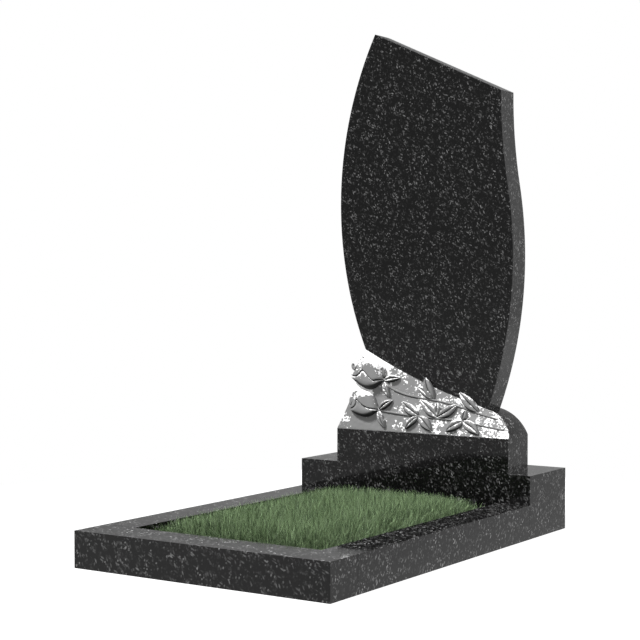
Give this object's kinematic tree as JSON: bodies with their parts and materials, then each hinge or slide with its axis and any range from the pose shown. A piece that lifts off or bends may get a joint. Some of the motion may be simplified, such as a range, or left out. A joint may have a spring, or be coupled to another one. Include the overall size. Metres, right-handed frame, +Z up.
{
  "type": "headstone",
  "caption": "Upright black granite headstone with a slanted top and a rose-carved foot, on a plinth with kerbs around a small grass bed.",
  "frame": {"origin": "middle of the memorial's footprint, on the ground", "axes": "+Z up, the front faces -Y, +X to the right seen from the front"},
  "size_m": [0.6, 0.972, 1.133],
  "materials": {
    "polished_granite": "black granite (gabbro), mirror polished, with grey mineral flecks; the sloping panel with the roses is hand cut and left matt light grey",
    "carved_granite": "the same black granite hand cut on the sloping panel and left matt, so that it shows light grey, with bright bruised patches",
    "polished_granite_plinth": "black granite (gabbro), mirror polished, with grey mineral flecks",
    "polished_granite_kerbs": "black granite (gabbro), mirror polished, with grey mineral flecks",
    "turf": "short grass on soil"
  },
  "bodies": {
    "root": {"headstone": "polished_granite", "plinth": "polished_granite_plinth", "kerb_left": "polished_granite_kerbs", "kerb_right": "polished_granite_kerbs", "kerb_front": "polished_granite_kerbs", "turf": "turf"}
  },
  "joints": []
}
